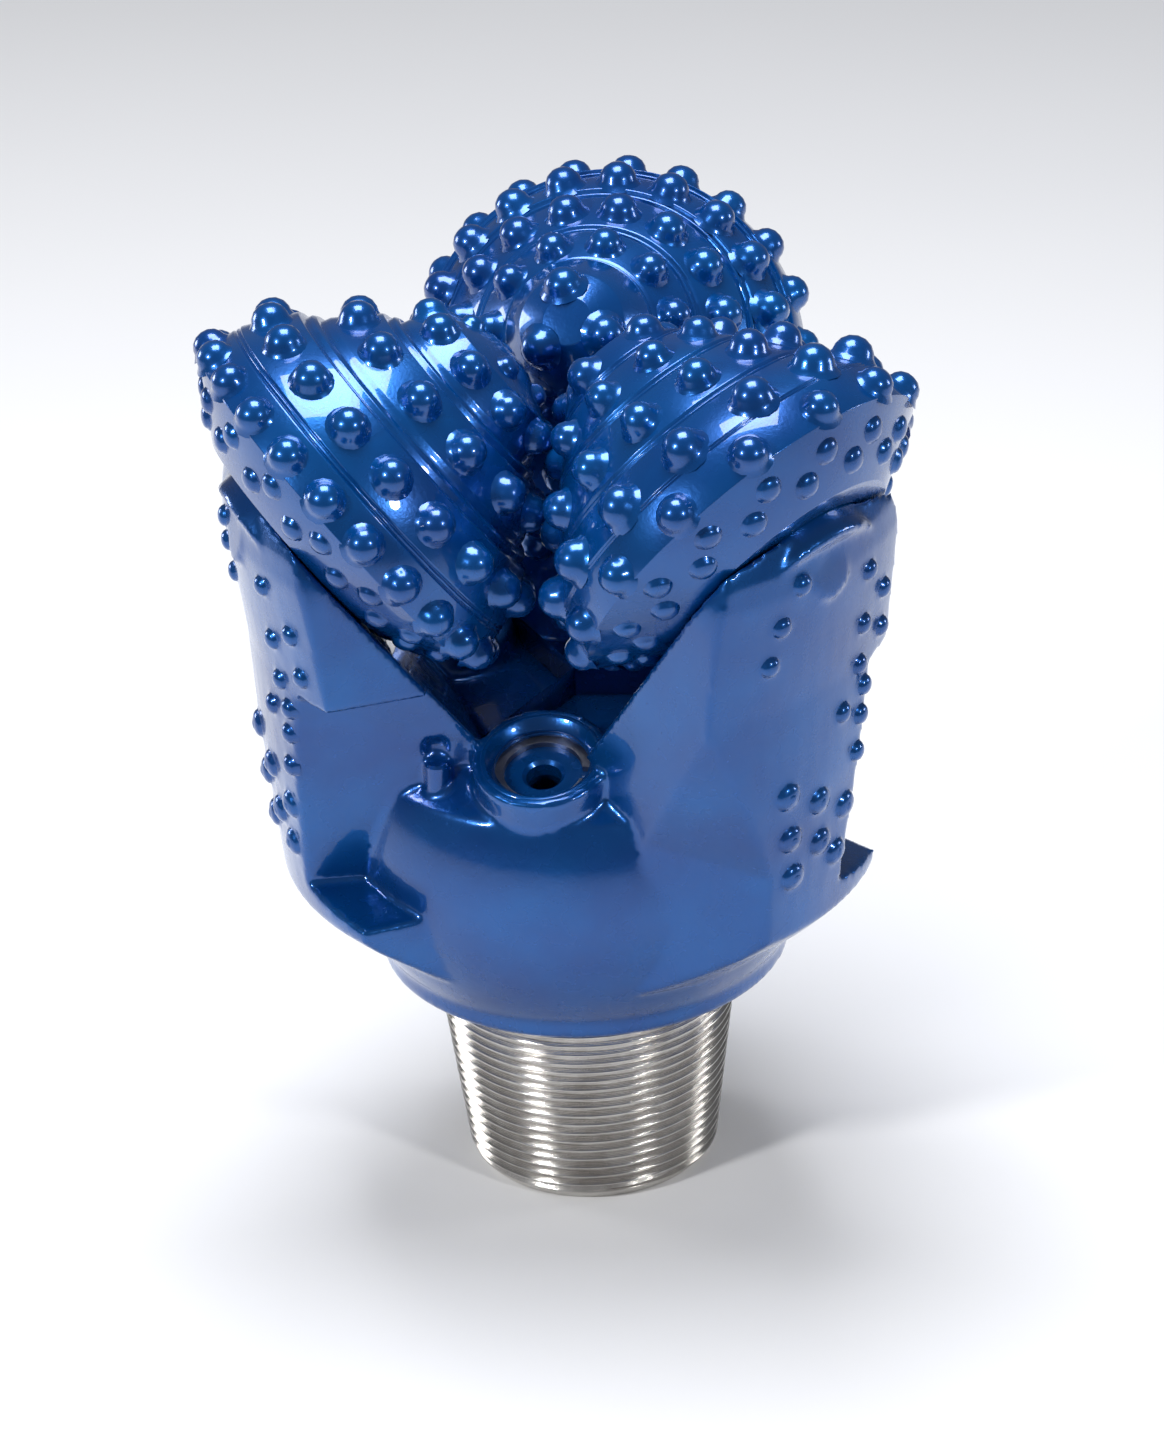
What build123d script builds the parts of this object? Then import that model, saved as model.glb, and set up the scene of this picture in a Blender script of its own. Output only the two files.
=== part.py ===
from build123d import *
import os
from math import asin, atan2, cos, degrees, pi, radians, sin

# Tricone rock bit with tungsten carbide inserts, standing on its pin, cones up.
# Millimetres.  Origin: centre of the pin's end face, +Z towards the cones.

# ---------------------------------------------------------------- driving sizes
gauge_diameter = 406.4            # hole size, 16 in
leg_angles = (210, 330, 90)       # legs 1, 2 and 3 about the bit's axis

# rotary shouldered pin, 7-5/8 regular: 4 threads per inch, 3 in taper per foot
pin_length = 133.35
pin_top_diameter = 177.8
pin_taper = 0.25                  # diameter lost per length
pin_bore_diameter = 95.25
pin_end_chamfer = 5.0
thread_pitch = 6.35
thread_depth = 3.75
thread_crest = 1.27
thread_root = 0.95
thread_start = 9.0                # plain length at the small end
thread_runout = 9.0               # plain length below the shoulder
thread_relief = 1.2               # undercut of the plain length below the crests

# shoulder, shank and belly that the three legs make together
shoulder_diameter = 215.5
shank_diameter = 236.0
shank_height = 16.0
shoulder_bevel_height = 6.0
belly_radius = 142.0
belly_height = 95.0               # belly's widest level above the shoulder
belly_top_radius = 131.0
belly_top_height = 148.0
deck_radius = 108.0               # rim of the deck under the cones
deck_height = 163.0               # deck's level above the shoulder
plenum_height = 88.0              # top of the central bore above the shoulder
roof_slope = 0.7                  # rise of the bore's conical roof per length
roof_flat_radius = 14.0

# journal axes: tilted down and outwards from a common crossing level
journal_tilt = 36.0
crossing_height = 538.0
journal_offset = 3.5

# leg's outer face, as radius at heights above the pin's end face
leg_foot_radius = 172.0
leg_foot_height = 207.0
leg_foot_bevel = 10.0             # inset and drop of the bevel under the foot
underside_height = 26.0           # where the leg's underside leaves the shank
leg_waist_radius = 181.0
leg_waist_height = 300.0
leg_lip_radius = 193.0
leg_lip_height = 432.0
leg_lip_round = 14.0              # how far the lip falls back at its top
leg_top_height = 468.0
leg_half_width = 77.0
arm_inner_radius = 20.0
shirttail_radius = 77.0
shirttail_gap = 0.8               # between the cone's back face and the leg

# trimming flats of the arm: a point on each and the flat's outward normal
bevel_flat = ((175.4, -30.3, 252), (0.515, -0.804, -0.299))
heel_flat = ((173.6, -29, 225), (0.608, -0.792, -0.054))
slot_flat = ((176.4, 52.3, 351), (0.198, 0.964, -0.179))
slot_top = 355.0
cut_size = 260.0                  # edge of the trimming blocks

# cone shell, measured inwards along its axis from the heel corner
gauge_land_width = 23.0
gauge_land_radius = 113.0
gauge_land_drop = 2.0             # land's radius lost over its width
gauge_relief = 2.2                # heel corner inside the gauge circle
heel_width = 26.0                 # from the heel corner out to the back face
back_face_radius = 73.0
seal_land_radius = 54.0           # mouth of the cone's bore, round the journal
nose_reach = 129.5
nose_radius = 14.0

# bearing, measured inwards along the journal from the cone's back face
running_fit = 0.05
journal_radius = 50.0
flange_radius = 53.0              # journal's root, inside the cone's mouth
journal_root = 14.0               # how far the journal is let into the leg
roller_diameter = 12.0
roller_length = 30.0
roller_count = 28
roller_start = 7.0
ball_diameter = 19.05
ball_pitch_radius = 50.0
ball_count = 16
ball_row = 54.0
bearing_edge = 2.0                # bevels of the journal's thrust face and nose pin
bearing_relief = 1.0              # between journal and cone where nothing runs
bearing_chamfer = 0.7             # on rollers, bushing and button
thrust_shoulder = 68.0
nose_pin_radius = 27.0
nose_pin_length = 36.0
bushing_wall = 6.0
bushing_length = 32.0
button_radius = 17.0
button_thickness = 8.0
ball_hole_radius = 10.2
ball_plug_fit = 0.1
ball_hole_lean = 45.0             # from the journal axis
ball_hole_length = 112.0          # from the ball row's centre to the leg's face
plug_head_radius = 14.0
plug_head_depth = 8.0
plug_waist_radius = 6.0
plug_waist_start = 30.0           # from the ball row's centre
plug_shoulder = 16.0              # full-width length under the plug's head
air_hole_radius = 6.0
journal_hole_radius = 5.0

# nozzle pocket between each leg and the one before it
nozzle_angle = -58.0              # from the leg's own direction
nozzle_radius = 100.0
nozzle_rim_height = 177.0         # rim's centre above the shoulder
nozzle_tilt = 16.0
pocket_radius = 27.0
pocket_depth = 42.0
pocket_chamfer = 5.0
boss_radius = 39.0
boss_depth = 70.0
nozzle_length = 28.0
nozzle_throat_radius = 10.0
nozzle_throat_length = 10.0
nozzle_entry_radius = 17.0
nozzle_edge = 2.0
passage_radius = 15.0
passage_start = (12.0, 46.0)      # radius in the plenum, height above the shoulder
air_way_start = (18.0, 46.0)
air_way_end = (8.0, 4.0)          # beside the journal's axis, beyond the back face
ring_height = 3.5
ring_gap = 9.0
o_ring_section = 4.3
o_ring_place = 12.0               # above the pocket's floor
o_ring_room = 0.3                 # groove's clearance on each side
ring_inner_radius = 22.0
ring_groove_depth = 2.0
nail_radius = 7.0
nail_stand_out = 8.0
nail_depth = 22.0
nail_angle = 32.0                 # from the direction of the leg that holds it
nail_pitch_radius = 118.0
nail_edge = 1.5

# carbide inserts
insert_fit = 0.02                 # between an insert and its socket
leg_insert_size = (4.8, 4.0, 9.0)       # radius, stand-out, depth in the leg
leg_button_size = (6.8, 5.5, 11.0)
seam_angle = -80.0                # weld seam from the leg's own direction

# ---------------------------------------------------------------- derived places
gauge_radius = gauge_diameter / 2
pin_top_radius = pin_top_diameter / 2
pin_bore_radius = pin_bore_diameter / 2
shoulder_radius = shoulder_diameter / 2
shank_radius = shank_diameter / 2
tilt_cos = cos(radians(journal_tilt))
tilt_sin = sin(radians(journal_tilt))
upwards = (Align.CENTER, Align.CENTER, Align.MIN)
downwards = (Align.CENTER, Align.CENTER, Align.MAX)

heel_corner = (gauge_radius - gauge_relief - gauge_land_radius * tilt_sin) / tilt_cos
back_face = heel_corner + heel_width
leg_face = back_face + shirttail_gap
roller_pitch_radius = journal_radius + running_fit + roller_diameter / 2
race_radius = roller_pitch_radius + roller_diameter / 2 + running_fit
ball_radius = ball_diameter / 2
thrust_face = back_face - thrust_shoulder
nose_pin_end = thrust_face - nose_pin_length
bushing_radius = nose_pin_radius + running_fit + bushing_wall

journal_plane = Plane(
    origin=(0, journal_offset, crossing_height),
    x_dir=(0, 1, 0),
    z_dir=(tilt_cos, 0, -tilt_sin),
)

os.makedirs("parts", exist_ok=True)


def at_leg(shape, angle):
    """A piece drawn for the leg on +X, turned to a leg's own direction."""
    return shape.rotate(Axis.Z, angle)


def at_journal(shape, angle):
    """A piece drawn about its own Z as journal axis, set on a leg's journal."""
    return at_leg(shape.moved(journal_plane.location), angle)


def save(shape, name):
    """Label a finished piece and write it as its own STEP file."""
    shape.label = name
    export_step(shape, f"parts/{name}.step")
    print(name, len(shape.solids()), round(shape.volume))


# ---------------------------------------------------------------- cone outlines
# Each land is (start, start radius, end, end radius), with its start and end
# measured inwards from the heel corner; a step or groove lies between lands.
gauge_land = (
    gauge_land_width, gauge_land_radius - gauge_land_drop, 0.0, gauge_land_radius
)
cone_lands = {
    1: [(119.0, 40.0, 100.0, 51.5), (91.5, 63.5, 68.0, 81.0), (57.0, 95.0, 28.0, 110.0)],
    2: [(126.0, 30.0, 112.0, 42.0), (107.5, 46.5, 85.5, 66.0), (80.0, 71.5, 54.5, 89.0),
        (49.0, 94.5, 26.0, 110.0)],
    3: [(117.0, 30.0, 100.0, 41.5), (94.0, 44.0, 78.0, 62.0), (73.0, 67.0, 50.0, 88.0),
        (45.0, 94.5, 27.0, 106.0)],
}


def cone_outline(number):
    """Outer points (radius, distance along the axis) from the nose to the heel."""
    points = [(0.0, heel_corner - nose_reach), (nose_radius, heel_corner - nose_reach)]
    for start, start_radius, end, end_radius in cone_lands[number] + [gauge_land]:
        points.append((start_radius, heel_corner - start))
        points.append((end_radius, heel_corner - end))
    return points


def land_at(outline, distance):
    """Radius and outward slope angle of the outline at a distance along the axis."""
    for (r0, t0), (r1, t1) in zip(outline, outline[1:]):
        if t0 <= distance <= t1 and t1 > t0:
            radius = r0 + (r1 - r0) * (distance - t0) / (t1 - t0)
            return radius, degrees(atan2(r1 - r0, t1 - t0))
    return outline[-1][0], 0.0


# Rows of inserts: inward distance from the heel corner, how many, turn of the
# first one in degrees, radius of the insert, how far it stands out, how deep it sits.
large, gauge_size, middle, small = 9.5, 8.75, 8.5, 5.5
cone_rows = {
    1: {
        "nose": [(124.5, 4, 20, small, 5.0, 9.0)],
        "inner": [(110.0, 9, 0, middle, 9.5, 12.0)],
        "middle": [(79.5, 12, 10, large, 11.5, 18.0)],
        "outer": [(43.0, 18, 5, large, 11.5, 20.0)],
        "gauge": [(8.5, 22, 0, gauge_size, 9.5, 14.0)],
    },
    2: {
        "nose": [(120.0, 5, 15, middle, 8.5, 9.0)],
        "inner": [(97.0, 10, 5, middle, 10.0, 15.0)],
        "middle": [(67.0, 13, 0, large, 11.5, 18.0)],
        "outer": [(34.0, 14, 4, 10.5, 12.5, 20.0)],
        "gauge": [(8.5, 14, 16.9, gauge_size, 9.5, 14.0)],
    },
    3: {
        "nose": [(123.5, 3, 75, large, 10.0, 11.0)],
        "inner": [(86.0, 11, 0, middle, 10.0, 14.0)],
        "middle": [(61.5, 16, 6, large, 11.0, 17.0)],
        "outer": [(36.0, 20, 0, large, 11.5, 20.0)],
        "gauge": [(8.5, 22, 8, gauge_size, 9.5, 14.0)],
    },
}
heel_rows = [(9.5, 15, 0.0), (17.0, 15, 10.0)]     # outward from the heel corner
heel_insert_radius, heel_stand_out, heel_depth = 5.5, 3.5, 6.0

# Wear inserts on the leg's outer face: turn from the leg's direction, height.
leg_insert_places = [
    (-6, 436), (-10, 414), (-12, 391), (12, 420), (19, 398), (12, 386), (20, 372),
    (12, 360), (14, 344), (7, 337), (13, 327), (12, 305),
]
leg_button_places = [
    (-7, 302), (1, 289), (9, 275), (-6, 273), (2, 261), (7, 247), (-5, 247),
]
leg_rows = [(leg_insert_places, leg_insert_size), (leg_button_places, leg_button_size)]


def insert_body(radius, stand_out, depth):
    """One insert on +Z: plain grip below the surface and a dome above it."""
    dome = min(stand_out, radius)
    skirt = stand_out - dome
    sphere = (radius ** 2 + dome ** 2) / (2 * dome)
    half = asin(radius / sphere) / 2 if dome < radius else pi / 4
    middle_point = (sphere * sin(half), skirt + dome - sphere + sphere * cos(half))
    with BuildPart() as insert:
        with BuildSketch(Plane.XZ):
            with BuildLine():
                Polyline((0, stand_out), (0, -depth), (radius, -depth), (radius, skirt))
                ThreePointArc((radius, skirt), middle_point, (0, stand_out))
            make_face()
        revolve(axis=Axis.Z)
    return insert.part


def ring_places(radius, distance, lean, count, turn):
    """Places round the Z axis, each with its Z along the surface's outward normal."""
    places = []
    for index in range(count):
        angle = radians(turn + 360 * index / count)
        normal = (cos(lean) * cos(angle), cos(lean) * sin(angle), sin(lean))
        origin = (radius * cos(angle), radius * sin(angle), distance)
        places.append(Plane(origin=origin, z_dir=normal).location)
    return places


def row_places(outline, row):
    """Places of a row of inserts on the lands of a cone."""
    inward, count, turn = row[:3]
    radius, slope = land_at(outline, heel_corner - inward)
    return ring_places(radius, heel_corner - inward, -radians(slope), count, turn)


def heel_places(row):
    """Places of a row of inserts on the conical heel of a cone."""
    outward, count, turn = row
    drop = (gauge_land_radius - back_face_radius) / heel_width
    radius = gauge_land_radius - outward * drop
    lean = atan2(drop, 1.0)
    return ring_places(radius, heel_corner + outward, lean, count, turn)


# ---------------------------------------------------------------- cone shells
def build_cone_shell(number):
    """Cone body with its bearing bore, and a socket for every insert."""
    outline = cone_outline(number)
    roller_in = back_face - roller_start - roller_length - running_fit
    roller_out = back_face - roller_start + running_fit
    bushing_end = thrust_face - bushing_length
    button_end = nose_pin_end - running_fit - button_thickness
    with BuildPart() as shell:
        with BuildSketch(Plane.XZ):
            with BuildLine():
                Polyline(
                    *outline,
                    (back_face_radius, back_face),
                    (seal_land_radius, back_face),
                    (seal_land_radius, roller_out),
                    (race_radius, roller_out),
                    (race_radius, roller_in),
                    (journal_radius + bearing_relief, roller_in),
                    (journal_radius + bearing_relief, thrust_face - running_fit),
                    (bushing_radius, thrust_face - running_fit),
                    (bushing_radius, bushing_end),
                    (nose_pin_radius + bearing_relief, bushing_end),
                    (nose_pin_radius + bearing_relief, nose_pin_end - running_fit),
                    (button_radius, nose_pin_end - running_fit),
                    (button_radius, button_end),
                    (0, button_end),
                    close=True,
                )
            make_face()
        revolve(axis=Axis.Z)
        with Locations((0, 0, back_face - ball_row)):
            Torus(ball_pitch_radius, ball_radius + running_fit, mode=Mode.SUBTRACT)
        for rows in cone_rows[number].values():
            for row in rows:
                with Locations(*row_places(outline, row)):
                    Cylinder(row[3] + insert_fit, 2 * row[5], mode=Mode.SUBTRACT)
        for row in heel_rows:
            with Locations(*heel_places(row)):
                Cylinder(heel_insert_radius + insert_fit, 2 * heel_depth, mode=Mode.SUBTRACT)
    return shell.part


def build_row_inserts(number, zone):
    """The carbide inserts of one zone of a cone, as separate solids."""
    outline = cone_outline(number)
    placed = []
    for row in cone_rows[number][zone]:
        body = insert_body(*row[3:6])
        placed += [body.moved(place) for place in row_places(outline, row)]
    return Compound(placed)


def build_heel_inserts():
    """The low-domed inserts of a cone's heel, as separate solids."""
    body = insert_body(heel_insert_radius, heel_stand_out, heel_depth)
    placed = [body.moved(place) for row in heel_rows for place in heel_places(row)]
    return Compound(placed)


# ---------------------------------------------------------------- bearing pieces
def build_nose_bushing():
    """Bronze friction bushing pressed into the cone, round the nose pin."""
    bottom = thrust_face - bushing_length
    with BuildPart() as bushing:
        with BuildSketch(Plane.XY.offset(bottom)):
            Circle(bushing_radius)
            Circle(nose_pin_radius + running_fit, mode=Mode.SUBTRACT)
        extrude(amount=bushing_length - 2 * running_fit)
        chamfer(bushing.edges().filter_by(GeomType.CIRCLE).group_by(Axis.Z)[-1], bearing_chamfer)
    return bushing.part


def build_thrust_button():
    """Hard disc in the bottom of the cone, which the nose pin's end runs on."""
    with BuildPart() as button:
        with BuildSketch(Plane.XY.offset(nose_pin_end - running_fit - button_thickness)):
            Circle(button_radius)
        extrude(amount=button_thickness - running_fit)
        chamfer(button.edges().group_by(Axis.Z)[-1], bearing_chamfer)
    return button.part


def build_rollers():
    """Full complement of rollers between the journal and the cone's race."""
    start = back_face - roller_start - roller_length + running_fit
    with BuildPart() as rollers:
        with BuildSketch(Plane.XY.offset(start)):
            with PolarLocations(roller_pitch_radius, roller_count):
                Circle(roller_diameter / 2)
        extrude(amount=roller_length - 2 * running_fit)
        chamfer(rollers.edges().filter_by(GeomType.CIRCLE), bearing_chamfer)
    return rollers.part


def build_balls():
    """Full complement of balls that lock the cone on the journal."""
    with BuildPart() as balls:
        with Locations((0, 0, back_face - ball_row)):
            with PolarLocations(ball_pitch_radius, ball_count):
                Sphere(ball_radius - running_fit)
    return balls.part


# ---------------------------------------------------------------- legs
def pin_outline():
    """Points (radius, height) up the pin's threaded flank."""
    end_radius = pin_top_radius - pin_taper / 2 * pin_length

    def flank(height):
        return end_radius + pin_taper / 2 * height

    points = [(end_radius - pin_end_chamfer, 0.0), (flank(pin_end_chamfer), pin_end_chamfer)]
    slope = (thread_pitch - thread_crest - thread_root) / 2
    height = thread_start
    while height + thread_pitch < pin_length - thread_runout:
        points.append((flank(height), height))
        points.append((flank(height) - thread_depth, height + slope))
        points.append((flank(height) - thread_depth, height + slope + thread_root))
        height += 2 * slope + thread_root
        points.append((flank(height), height))
        height += thread_crest
    points.append((flank(height) - thread_relief, height + thread_relief))
    points.append((flank(pin_length) - thread_relief, pin_length))
    return points


def build_core():
    """Pin, shank and belly as one turned body, before it is cut into thirds."""
    level = pin_length
    with BuildPart() as core:
        with BuildSketch(Plane.XZ):
            with BuildLine():
                Polyline(
                    (0, 0),
                    *pin_outline(),
                    (shoulder_radius, level),
                    (shank_radius, level + shoulder_bevel_height),
                    (shank_radius, level + shank_height),
                )
                ThreePointArc(
                    (shank_radius, level + shank_height),
                    (belly_radius, level + belly_height),
                    (belly_top_radius, level + belly_top_height),
                )
                Polyline(
                    (belly_top_radius, level + belly_top_height),
                    (deck_radius, level + deck_height),
                    (0, level + deck_height),
                    (0, 0),
                )
            make_face()
        revolve(axis=Axis.Z)
    return core.part


def build_water_way():
    """Central bore through the pin, with the plenum's conical roof."""
    roof = pin_length + plenum_height
    wall_top = roof - (pin_bore_radius - roof_flat_radius) * roof_slope
    with BuildPart() as water_way:
        with BuildSketch(Plane.XZ):
            with BuildLine():
                Polyline(
                    (0, -1),
                    (pin_bore_radius, -1),
                    (pin_bore_radius, wall_top),
                    (roof_flat_radius, roof),
                    (0, roof),
                    close=True,
                )
            make_face()
        revolve(axis=Axis.Z)
    return water_way.part


def arm_face_points():
    """Points (radius, height) up the leg's outer face, foot to lip."""
    flare = leg_lip_radius - leg_waist_radius
    rise = leg_lip_height - leg_waist_height
    cap = leg_top_height - leg_lip_height
    return [
        (leg_foot_radius - leg_foot_bevel, leg_foot_height - leg_foot_bevel),
        (leg_foot_radius, leg_foot_height),
        (leg_waist_radius, leg_waist_height),
        (leg_waist_radius + flare * 0.25, leg_waist_height + rise * 0.45),
        (leg_waist_radius + flare * 0.75, leg_waist_height + rise * 0.82),
        (leg_lip_radius, leg_lip_height),
        (leg_lip_radius - leg_lip_round * 0.07, leg_lip_height + cap * 0.4),
        (leg_lip_radius - leg_lip_round * 0.43, leg_lip_height + cap * 0.83),
        (leg_lip_radius - leg_lip_round, leg_top_height),
    ]


def build_arm():
    """Leg's arm on +X: the shirttail, its outer face and its underside."""
    with BuildPart() as arm:
        with BuildSketch(Plane.XZ):
            with BuildLine():
                Polyline(
                    (arm_inner_radius, pin_length + underside_height),
                    (shank_radius - 2, pin_length + underside_height),
                    *arm_face_points(),
                    (arm_inner_radius, leg_top_height),
                    close=True,
                )
            make_face()
        revolve(axis=Axis.Z)
        with BuildSketch(journal_plane.offset(leg_face)) as shirttail:
            Circle(shirttail_radius)
            with Locations((0, -leg_top_height / 2)):
                Rectangle(2 * leg_half_width, leg_top_height)
        extrude(amount=gauge_radius, mode=Mode.INTERSECT)
    return arm.part


def side_cut(point, normal):
    """Block beyond a flat through a point, for trimming a leg's side."""
    with BuildPart(Plane(origin=point, z_dir=normal)) as block:
        Box(cut_size, cut_size, cut_size, align=upwards)
    return block.part


def wedge():
    """The third of a turn that one leg fills, between its two weld seams."""
    reach = 2 * gauge_radius
    corners = [(0, 0)]
    for step in range(5):
        angle = radians(seam_angle + 30 * step)
        corners.append((reach * cos(angle), reach * sin(angle)))
    with BuildPart() as third:
        with BuildSketch():
            with BuildLine():
                Polyline(*corners, close=True)
            make_face()
        extrude(amount=crossing_height)
    return third.part


def build_journal():
    """Journal about Z: flange, roller race, ball race, thrust face and nose pin."""
    race_out = back_face - roller_start + running_fit
    with BuildPart() as journal:
        with BuildSketch(Plane.XZ):
            with BuildLine():
                Polyline(
                    (0, leg_face + journal_root),
                    (flange_radius, leg_face + journal_root),
                    (flange_radius, race_out),
                    (journal_radius, race_out),
                    (journal_radius, thrust_face + bearing_edge),
                    (journal_radius - bearing_edge, thrust_face),
                    (nose_pin_radius, thrust_face),
                    (nose_pin_radius, nose_pin_end + bearing_edge),
                    (nose_pin_radius - bearing_edge, nose_pin_end),
                    (0, nose_pin_end),
                    close=True,
                )
            make_face()
        revolve(axis=Axis.Z)
        with Locations((0, 0, back_face - ball_row)):
            Torus(ball_pitch_radius, ball_radius + running_fit, mode=Mode.SUBTRACT)
    return journal.part


def ball_hole_plane():
    """Plane in the journal's frame: origin in the ball row, Z out along the hole."""
    lean = radians(ball_hole_lean)
    return Plane(
        origin=(0, -ball_pitch_radius, back_face - ball_row),
        x_dir=(1, 0, 0),
        z_dir=(0, sin(lean), cos(lean)),
    )


def build_ball_hole():
    """Drilled way for the balls, with the counterbore for the plug's head."""
    with BuildPart(ball_hole_plane()) as hole:
        Cylinder(ball_hole_radius, 2 * ball_hole_length, align=upwards)
        with Locations((0, 0, ball_hole_length - plug_head_depth)):
            Cylinder(plug_head_radius, ball_hole_length, align=upwards)
    return hole.part


def build_ball_plug():
    """Plug that holds the balls in, with a waist for the air and a welded head."""
    grip = ball_hole_radius - ball_plug_fit
    neck_start = ball_hole_length - plug_head_depth
    waist_end = neck_start - plug_shoulder
    stretches = [
        (ball_hole_radius + bearing_relief, plug_waist_start, grip),
        (plug_waist_start, waist_end, plug_waist_radius),
        (waist_end, neck_start, grip),
        (neck_start, ball_hole_length, plug_head_radius - ball_plug_fit),
    ]
    with BuildPart(ball_hole_plane()) as plug:
        for start, end, radius in stretches:
            with Locations((0, 0, start)):
                Cylinder(radius, end - start, align=upwards)
    return plug.part


def nozzle_plane():
    """Plane of the nozzle pocket's rim for the leg on +X, Z out of the pocket."""
    turn, lean = radians(nozzle_angle), radians(nozzle_tilt)
    return Plane(
        origin=(
            nozzle_radius * cos(turn), nozzle_radius * sin(turn), pin_length + nozzle_rim_height
        ),
        x_dir=(-sin(turn), cos(turn), 0),
        z_dir=(sin(lean) * cos(turn), sin(lean) * sin(turn), cos(lean)),
    )


def build_pocket():
    """Nozzle pocket with its chamfer and grooves, and the way down to the plenum."""
    ring_level = -pocket_depth + nozzle_length + running_fit
    ring_top = ring_level + ring_height + running_fit
    groove_radius = pocket_radius + ring_groove_depth
    seal_top = -pocket_depth + o_ring_place + o_ring_section / 2 + o_ring_room
    seal_bottom = -pocket_depth + o_ring_place - o_ring_section / 2 - o_ring_room
    with BuildPart() as pocket:
        with BuildSketch(Plane.XZ):
            with BuildLine():
                Polyline(
                    (0, 1),
                    (pocket_radius + pocket_chamfer + 1, 1),
                    (pocket_radius, -pocket_chamfer),
                    (pocket_radius, ring_top),
                    (groove_radius, ring_top),
                    (groove_radius, ring_level - running_fit),
                    (pocket_radius, ring_level - running_fit),
                    (pocket_radius, seal_top),
                    (pocket_radius + o_ring_section, seal_top),
                    (pocket_radius + o_ring_section, seal_bottom),
                    (pocket_radius, seal_bottom),
                    (pocket_radius, -pocket_depth),
                    (0, -pocket_depth),
                    close=True,
                )
            make_face()
        revolve(axis=Axis.Z)
    return pocket.part.moved(nozzle_plane().location)


def build_passage():
    """Drilled way from the plenum up to the floor of the nozzle pocket."""
    floor = nozzle_plane().offset(-pocket_depth + 1).origin
    turn = radians(nozzle_angle)
    reach, height = passage_start
    low = Vector(reach * cos(turn), reach * sin(turn), pin_length + height)
    way = floor - low
    with BuildPart(Plane(origin=low, z_dir=way)) as passage:
        Cylinder(passage_radius, way.length, align=upwards)
    return passage.part


def build_air_way():
    """Drilled way for the bearing's air, from the plenum to the ball hole."""
    beside, beyond = air_way_end
    top = journal_plane.from_local_coords((0, beside, back_face + beyond))
    reach, height = air_way_start
    low = Vector(reach, 0, pin_length + height)
    way = top - low
    with BuildPart(Plane(origin=low, z_dir=way)) as air_way:
        Cylinder(air_hole_radius, way.length, align=upwards)
    return air_way.part


def build_journal_hole():
    """Drilled way along the journal's axis, from the nose pin to the ball hole."""
    with BuildPart(Plane.XY.offset(nose_pin_end - 1)) as hole:
        Cylinder(journal_hole_radius, back_face - nose_pin_end, align=upwards)
    return hole.part


def nail_plane():
    """Plane on the deck's rim where the nail of the next nozzle stands."""
    turn = radians(nail_angle)
    level = pin_length + deck_height
    return Plane(
        origin=(nail_pitch_radius * cos(turn), nail_pitch_radius * sin(turn), level),
        z_dir=(0, 0, 1),
    )


def build_nail():
    """Retaining nail driven into the deck, with a chamfered head standing out."""
    with BuildPart(nail_plane()) as nail:
        Cylinder(nail_radius, nail_depth, align=downwards)
        Cylinder(nail_radius, nail_stand_out, align=upwards)
        chamfer(nail.edges().group_by(Axis.Z)[-1], nail_edge)
    return nail.part


def places_on_leg(face_points):
    """Places on the leg's outer face for (turn, height) points, Z outwards."""
    places = []
    for turn, height in face_points:
        angle = radians(turn)
        face, lean = outer_face_at(height)
        normal = (cos(lean) * cos(angle), cos(lean) * sin(angle), -sin(lean))
        places.append(Plane(origin=(face * cos(angle), face * sin(angle), height), z_dir=normal))
    return [place.location for place in places]


def outer_face_at(height):
    """Radius of the leg's outer face at a height, and its lean outwards."""
    levels = arm_face_points()
    for (r0, z0), (r1, z1) in zip(levels, levels[1:]):
        if z0 <= height <= z1:
            return r0 + (r1 - r0) * (height - z0) / (z1 - z0), atan2(r1 - r0, z1 - z0)
    return levels[-1][0], 0.0


def build_leg():
    """One third of the body on +X: pin, shank, belly, arm, boss and journal."""
    with BuildPart(nozzle_plane()) as boss:
        Cylinder(boss_radius, boss_depth, align=downwards)
    with BuildPart(Plane.XY.offset(slot_top)) as above_slot:
        Box(2 * cut_size, 2 * cut_size, cut_size, align=upwards)
    with BuildPart() as near_side:
        add(side_cut(*bevel_flat))
        add(side_cut(*heel_flat), mode=Mode.INTERSECT)
    arm = build_arm()
    arm -= near_side.part
    arm -= side_cut(*slot_flat) - above_slot.part
    leg = (build_core() + boss.part + arm) & wedge()
    leg += build_journal().moved(journal_plane.location)
    for bore in (
        build_water_way(),
        build_ball_hole().moved(journal_plane.location),
        build_journal_hole().moved(journal_plane.location),
        build_pocket(),
        build_passage(),
        build_air_way(),
    ):
        leg -= bore
    with BuildPart() as drilled:
        add(leg)
        for face_points, size in leg_rows:
            with Locations(*places_on_leg(face_points)):
                Cylinder(size[0] + insert_fit, 2 * size[2], mode=Mode.SUBTRACT)
        with Locations(nail_plane().location):
            Cylinder(nail_radius + insert_fit, 2 * nail_depth, mode=Mode.SUBTRACT)
    return drilled.part


def build_leg_inserts():
    """The wear inserts of a leg's outer face, as separate solids."""
    placed = []
    for face_points, size in leg_rows:
        body = insert_body(*size)
        placed += [body.moved(place) for place in places_on_leg(face_points)]
    return Compound(placed)


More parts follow.
